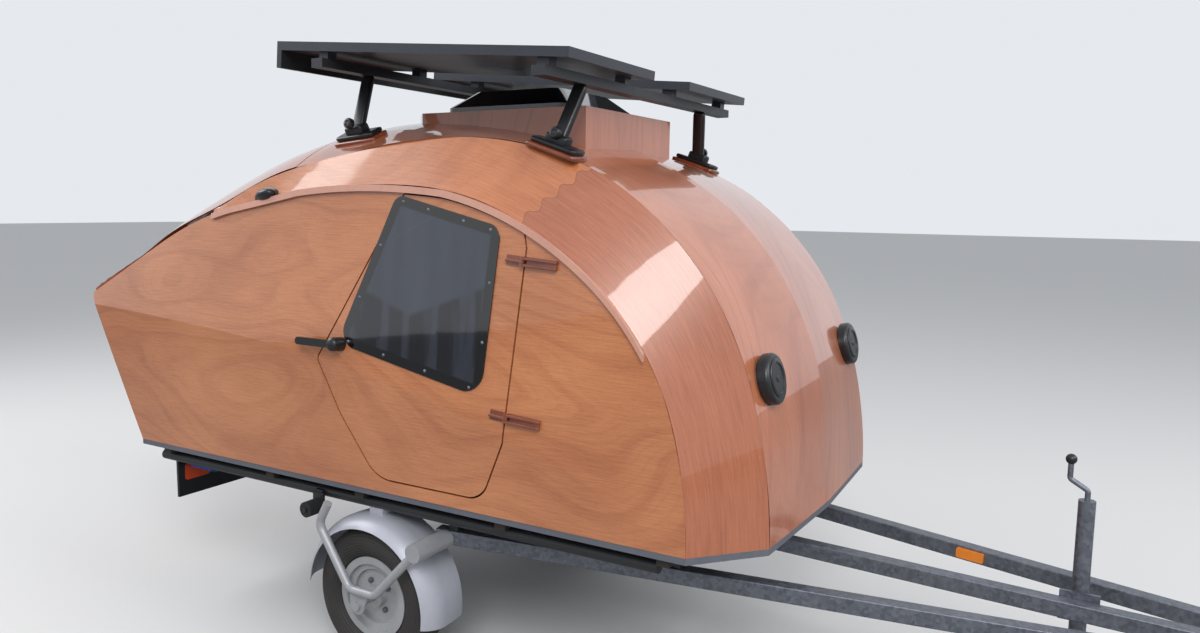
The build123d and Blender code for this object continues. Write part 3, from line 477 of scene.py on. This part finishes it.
def touched(names, start, way):
    """Nearest place, and the normal there, where a ray from start meets the named nodes."""
    hits = [BVHTree.FromObject(nodes[name], depsgraph).ray_cast(Vector(start), Vector(way)) for name in names]
    place, normal = min((hit for hit in hits if hit[0]), key=lambda hit: hit[3])[:2]
    normal = np.array(normal)
    return np.array(place), normal if normal @ np.array(way) < 0 else -normal


def touched_from_side(names, x, z, side):
    """The same for a ray that comes in from one side at a cabin x and z in millimetres."""
    return touched(names, cabin(x, side * BESIDE, z), (0, -side, 0))


def touched_from_above(names, x, y):
    """The same for a ray that comes down at a cabin x and y in millimetres."""
    return touched(names, cabin(x, y, ABOVE), (0, 0, -1))


def vertex_places(node):
    """A node's vertices, one row each."""
    vertices = nodes[node].data.vertices
    places = np.empty(len(vertices) * 3)
    vertices.foreach_get("co", places)
    return places.reshape(-1, 3)


# Window screws: radius and height along a round head, its inset from the edge in millimetres, and for each
# edge the shares of its length where they stand
SCREW = ((0.0002, 0.0022), (0.0028, 0.0020), (0.0046, 0.0011), (0.0052, 0.0))
SCREW_INSET = 17.0
SCREW_SHARES = ((0.08, 0.33, 0.67, 0.92), (0.33, 0.68), (0.08, 0.37, 0.66, 0.92), (0.33, 0.68))

# Handle caps: radius and height along a dome, its place on the door in millimetres, and how far it stands out
CAP = ((0.0002, 0.0085), (0.009, 0.0078), (0.0165, 0.0052), (0.0215, 0.0015), (0.0235, -0.004),
       (0.0235, -0.016))
HANDLE_X, HANDLE_Z = -1287, 512
CAP_OUT = 0.0463

# Hinge fingers: x and z of each pin in millimetres, the right side's axis, the pin's place from the skin,
# how far the fingers reach, and their half width, half depth, distance from the middle and lift
HINGES = ((-598, 345), (-561, 820))
PIN_AXIS = np.array((0.076932, 0.071363, 0.994479))
PIN_OUT, PIN_AHEAD = 0.012, 0.02
FINGER_ARM, FINGER_STRAP = 0.12, 0.064
FINGER_HALF, FINGER_DEPTH, FINGER_LEVEL, FINGER_LIFT = 0.0046, 0.0065, 0.01, 0.0004


def window_screws(name, side):
    """Twelve round heads along the window's edges."""
    screws = []
    for shares, (first, second, way) in zip(SCREW_SHARES, window_edges()):
        for share in shares:
            x, z = first + (second - first) * share + way * SCREW_INSET
            place, normal = touched_from_side(["window_" + name], x, z, side)
            screws.append(turned(place, normal, SCREW, steps=16))
    piece("window_screws_" + name, screws, "galvanised", "door_" + name)


def handle_cap(name, side):
    """A domed cap on the handle's boss."""
    place, normal = touched_from_side(["door_" + name], HANDLE_X, HANDLE_Z, side)
    cap = turned(place + normal * CAP_OUT, normal, CAP)
    piece("handle_cap_" + name, [cap], "black_plastic", "door_" + name)


def hinge_fingers(name, side):
    """Two fingers on the cabin and one on the door at each hinge, from its pin down to the skin."""
    fixed, moving = [], []
    axis = PIN_AXIS * (1, -side, 1)
    skin = ["door_" + name, "side_upper_" + name, "side_lower_" + name]
    for x, z in HINGES:
        place, normal = touched_from_side(skin, x - PIN_AHEAD * 1000, z, side)
        out = unit(normal - axis * (normal @ axis))
        forward = np.cross(axis, out)
        forward = forward if forward[0] > 0 else -forward
        pin = place + forward * PIN_AHEAD + out * PIN_OUT
        low = out * (FINGER_DEPTH - PIN_OUT + FINGER_LIFT)
        for level in (-FINGER_LEVEL, FINGER_LEVEL):
            start = pin + axis * level
            fixed.append(rounded_bar(start, start + forward * FINGER_ARM + low,
                                     out, FINGER_HALF, FINGER_DEPTH))
        moving.append(rounded_bar(pin, pin - forward * FINGER_STRAP + low, out, FINGER_HALF, FINGER_DEPTH))
    piece("hinge_fingers_" + name, fixed, "wood_trim", "root")
    piece("door_fingers_" + name, moving, "wood_trim", "door_" + name)


for side_name, side_sign in SIDES.items():
    window_screws(side_name, side_sign)
    handle_cap(side_name, side_sign)
    hinge_fingers(side_name, side_sign)


# Rack feet: plywood pads, base plates, struts that lean in to the bars, and round knobs
FEET = ((-516, -561, 1364.0), (-1412, -1382, 1442.0))      # bar x, base x, bar's underside, in millimetres
FOOT_Y, STRUT_TOP_Y = 530, 455
PAD = (0.098, 0.003, 0.046, 0.009)      # half length, height of the middle, half width, half depth
PLATE = (0.088, 0.019, 0.036, 0.009)
BOSS = (0.04, 0.036, 0.024, 0.018)
STRUT_START, STRUT_HALF_WIDTH, STRUT_HALF_DEPTH = 0.03, 0.013, 0.024
KNOB = ((0.007, 0.016), (0.010, 0.019), (0.016, 0.018), (0.019, 0.013), (0.019, 0.0))      # radius, height
KNOB_UP, KNOB_OUT, KNOB_TILT = 0.055, 0.022, 0.25


def foot_layer(place, normal, half_length, height, half_width, half_depth):
    """Flat bar that runs fore and aft, its middle at a height over a place on the roof."""
    along = fore(normal)
    return rounded_bar(place - along * half_length + normal * height,
                       place + along * half_length + normal * height, normal, half_width, half_depth)


def rack_feet():
    """Four feet in place of the plain ones."""
    skin = ["roof_right", "roof_left", "chine_right", "chine_left"]
    pads, feet = [], []
    for bar_x, base_x, bar_z in FEET:
        for side in SIDES.values():
            place, normal = touched_from_above(skin, base_x, side * FOOT_Y)
            pads.append(foot_layer(place, normal, *PAD))
            feet.append(foot_layer(place, normal, *PLATE))
            feet.append(foot_layer(place, normal, *BOSS))
            top = cabin(bar_x, side * STRUT_TOP_Y, bar_z)
            feet.append(rounded_bar(place + normal * STRUT_START, top, (1.0, 0.0, 0.0),
                                    STRUT_HALF_WIDTH, STRUT_HALF_DEPTH))
            knob = place + normal * KNOB_UP + np.array((0, side * KNOB_OUT, 0))
            feet.append(turned(knob, (0, side, KNOB_TILT), KNOB))
    piece("rack_pads", pads, "wood_trim", "root")
    piece("rack_feet_dressed", feet, "black_plastic", "root", ("rack_feet",))


rack_feet()


# Wheel studs: radius and height along a six-sided nut, and the circle of nuts on the rim's disc
STUD = ((0.0002, 0.012), (0.005, 0.0115), (0.0095, 0.009), (0.0098, 0.0), (0.013, -0.0005))
STUD_CIRCLE, STUD_COUNT, STUD_TURN, DISC_OUT = 0.0575, 4, 0.6, 0.0142


def wheel_studs(name, side):
    """Studs evenly spaced about the axle."""
    hub = AXLE * (1, side, 1) + np.array((0, side * DISC_OUT, 0))
    turns = np.arange(STUD_COUNT) * 2 * pi / STUD_COUNT + STUD_TURN
    studs = [turned(hub + STUD_CIRCLE * np.array((cos(turn), 0, sin(turn))), (0, side, 0), STUD, steps=6)
             for turn in turns]
    piece("wheel_studs_" + name, studs, "galvanised", "wheel_" + name)


for side_name, side_sign in SIDES.items():
    wheel_studs(side_name, side_sign)


# Cable cover: its place on the chine in millimetres, half length, half width, rise and forward slide, how
# much wider its rim is, and the rim's top and foot
COVER_X, COVER_Y = -1690, -690
COVER_LENGTH, COVER_WIDTH, COVER_RISE, COVER_SLIDE = 0.05, 0.022, 0.034, 0.016
COVER_RIM, RIM_TOP, RIM_FOOT = 1.22, 0.003, -0.004
COVER_LEVELS = (0.0, 0.0, 0.1, 0.3, 0.5, 0.7, 0.85, 0.95, 0.995)


def cable_entry():
    """Teardrop cover on the right chine: ellipses that shrink by (1 - h^2)^(1/2) and slide forward as h
    rises, over a wider rim."""
    place, normal = touched_from_above(["chine_right"], COVER_X, COVER_Y)
    along = fore(normal)
    beside = np.cross(normal, along)
    share = np.array(COVER_LEVELS)[:, None, None]
    size = np.sqrt(1 - share ** 2)
    size[:2] = COVER_RIM
    height = share * COVER_RISE + RIM_TOP
    height[0] = RIM_FOOT
    turn = round_angles(steps=32)
    cover = (place + normal * height + along * (share * COVER_SLIDE + size * COVER_LENGTH * np.cos(turn))
             + beside * size * COVER_WIDTH * np.sin(turn))
    piece("cable_cover", [cover], "black_plastic", "root")


cable_entry()


# Vent caps: radius and height along a middle button, a groove and a raised ring
VENT = ((0.0002, 0.0035), (0.011, 0.003), (0.0135, 0.0005), (0.043, 0.0005), (0.046, 0.004),
        (0.055, 0.0045), (0.059, 0.0015), (0.059, -0.006))


def vent_rings():
    """A ring on each of the four vents, about its own axis."""
    outside = 0.3
    rings = []
    for node, way in (("nose_vents", 1), ("tail_vents", -1)):
        places = vertex_places(node)
        for side in SIDES.values():
            middle = places[places[:, 1] * side > 0].mean(axis=0)
            out = touched([node], middle + np.array((way * outside, 0, 0)), (-way, 0, 0))[1]
            rings.append(turned(touched([node], middle + out * outside, -out)[0], out, VENT, steps=40))
    piece("vent_rings", rings, "black_plastic", "root")


vent_rings()


# Hatch: how far its corners stand up near the tail at each x, and the share of that at each distance from
# the middle
TAIL_RISE = ((-2.472, 0.0), (-2.465, 0.012), (-2.44, 0.049), (-2.40, 0.075), (-2.35, 0.064),
             (-2.30, 0.034), (-2.25, 0.011), (-2.20, 0.0))
RISE_SHARE = ((0.0, 0.0), (0.2, -0.08), (0.4, -0.11), (0.5, -0.1), (0.55, 0.08), (0.6, 0.36),
              (0.64, 0.62), (0.67, 0.85), (0.704, 1.07))


def eased(table, places):
    """Straight runs through a table's points, averaged over a short span about each place."""
    samples, span_share = 9, 40
    keys, values = np.array(table).T
    offsets = np.linspace(-1, 1, samples) * (keys[-1] - keys[0]) / span_share
    window = np.hanning(samples + 2)
    weights = window[1:-1] / window.sum()
    return sum(weight * np.interp(places + offset, keys, values) for weight, offset in zip(weights, offsets))


def even_hatch():
    """The hatch's own surface lowered by the rise at x times the share at |y|, so that its crown dies
    out evenly."""
    places = vertex_places("hatch")
    places[:, 2] -= eased(TAIL_RISE, places[:, 0]) * eased(RISE_SHARE, np.abs(places[:, 1]))
    faces = [list(face.vertices) for face in nodes["hatch"].data.polygons]
    closed_shell("hatch_even", places, faces, "wood_roof", "hatch", ("hatch",))


even_hatch()


# Floor, light and camera
LAMPS = (      # name, place, target, size, power
    ("key_lamp", (3.5, -6.5, 6.5), (-0.5, 0, 1.2), 4.0, 440.0),
    ("front_lamp", (7.5, 0.5, 6.0), (0.2, 0, 1.2), 3.5, 300.0),
    ("rear_lamp", (-6.5, -2.0, 5.5), (-1.0, 0, 1.2), 4.0, 220.0))
SKY_COLOR, SKY_LIGHT, SKY_SEEN = (0.92, 0.95, 1.0, 1.0), 0.5, 0.86


def ground_finish():
    """Pale to the camera, and darker where it lights the trailer from below."""
    paint = Paint("ground", roughness=0.85)
    seen = paint.node("ShaderNodeLightPath", {}, {}, "Is Camera Ray")
    paint.set("Base Color", paint.mix(seen, (0.36, 0.36, 0.36), (0.76, 0.76, 0.76)))
    return paint.material


def pale_floor():
    """A wide square under the trailer."""
    half = 60.0
    corners = [(-half, -half, 0), (half, -half, 0), (half, half, 0), (-half, half, 0)]
    mesh = bpy.data.meshes.new("ground")
    mesh.from_pydata(corners, [], [(0, 1, 2, 3)])
    mesh.materials.append(ground_finish())
    ground = bpy.data.objects.new("ground", mesh)
    bpy.context.scene.collection.objects.link(ground)


def pale_sky():
    """Brighter to the camera and in reflections than as a light."""
    world = bpy.data.worlds.new("sky")
    bpy.context.scene.world = world
    world.use_nodes = True
    tree = world.node_tree
    path = tree.nodes.new("ShaderNodeLightPath")
    seen = tree.nodes.new("ShaderNodeMath")
    strength = tree.nodes.new("ShaderNodeMapRange")
    tree.links.new(path.outputs["Is Camera Ray"], seen.inputs[0])
    tree.links.new(path.outputs["Is Glossy Ray"], seen.inputs[1])
    tree.links.new(seen.outputs[0], strength.inputs["Value"])
    strength.inputs["To Min"].default_value = SKY_LIGHT
    strength.inputs["To Max"].default_value = SKY_SEEN
    background = tree.nodes["Background"]
    tree.links.new(strength.outputs[0], background.inputs["Strength"])
    background.inputs["Color"].default_value = SKY_COLOR


def soft_lamps():
    """Three large soft lamps, each turned to its target."""
    for name, place, target, size, power in LAMPS:
        data = bpy.data.lights.new(name, "AREA")
        data.size = size
        data.energy = power
        lamp = bpy.data.objects.new(name, data)
        lamp.location = place
        lamp.rotation_euler = (Vector(target) - Vector(place)).to_track_quat("-Z", "Y").to_euler()
        bpy.context.scene.collection.objects.link(lamp)


def photo_camera():
    """The photograph's view: yaw to the left of +Y, a slight look down and a slight roll."""
    focal_px, image_width, sensor = 911.289, 1200, 36.0
    place = 1.2648, -2.9528, 1.6264
    yaw, pitch, roll = -0.5206, 0.1216, 0.0128
    ahead = Vector((sin(yaw) * cos(pitch), cos(yaw) * cos(pitch), -sin(pitch)))
    flat = Vector((cos(yaw), -sin(yaw), 0))
    upright = flat.cross(ahead)
    right = flat * cos(roll) + upright * sin(roll)
    up = upright * cos(roll) - flat * sin(roll)
    data = bpy.data.cameras.new("camera")
    data.sensor_width = sensor
    data.lens = focal_px / image_width * sensor
    camera = bpy.data.objects.new("camera", data)
    turn = Matrix((right, up, -ahead)).transposed().to_4x4()
    camera.matrix_world = Matrix.Translation(place) @ turn
    bpy.context.scene.collection.objects.link(camera)
    bpy.context.scene.camera = camera


pale_floor()
pale_sky()
soft_lamps()
photo_camera()
bpy.context.scene.view_settings.view_transform = "Standard"
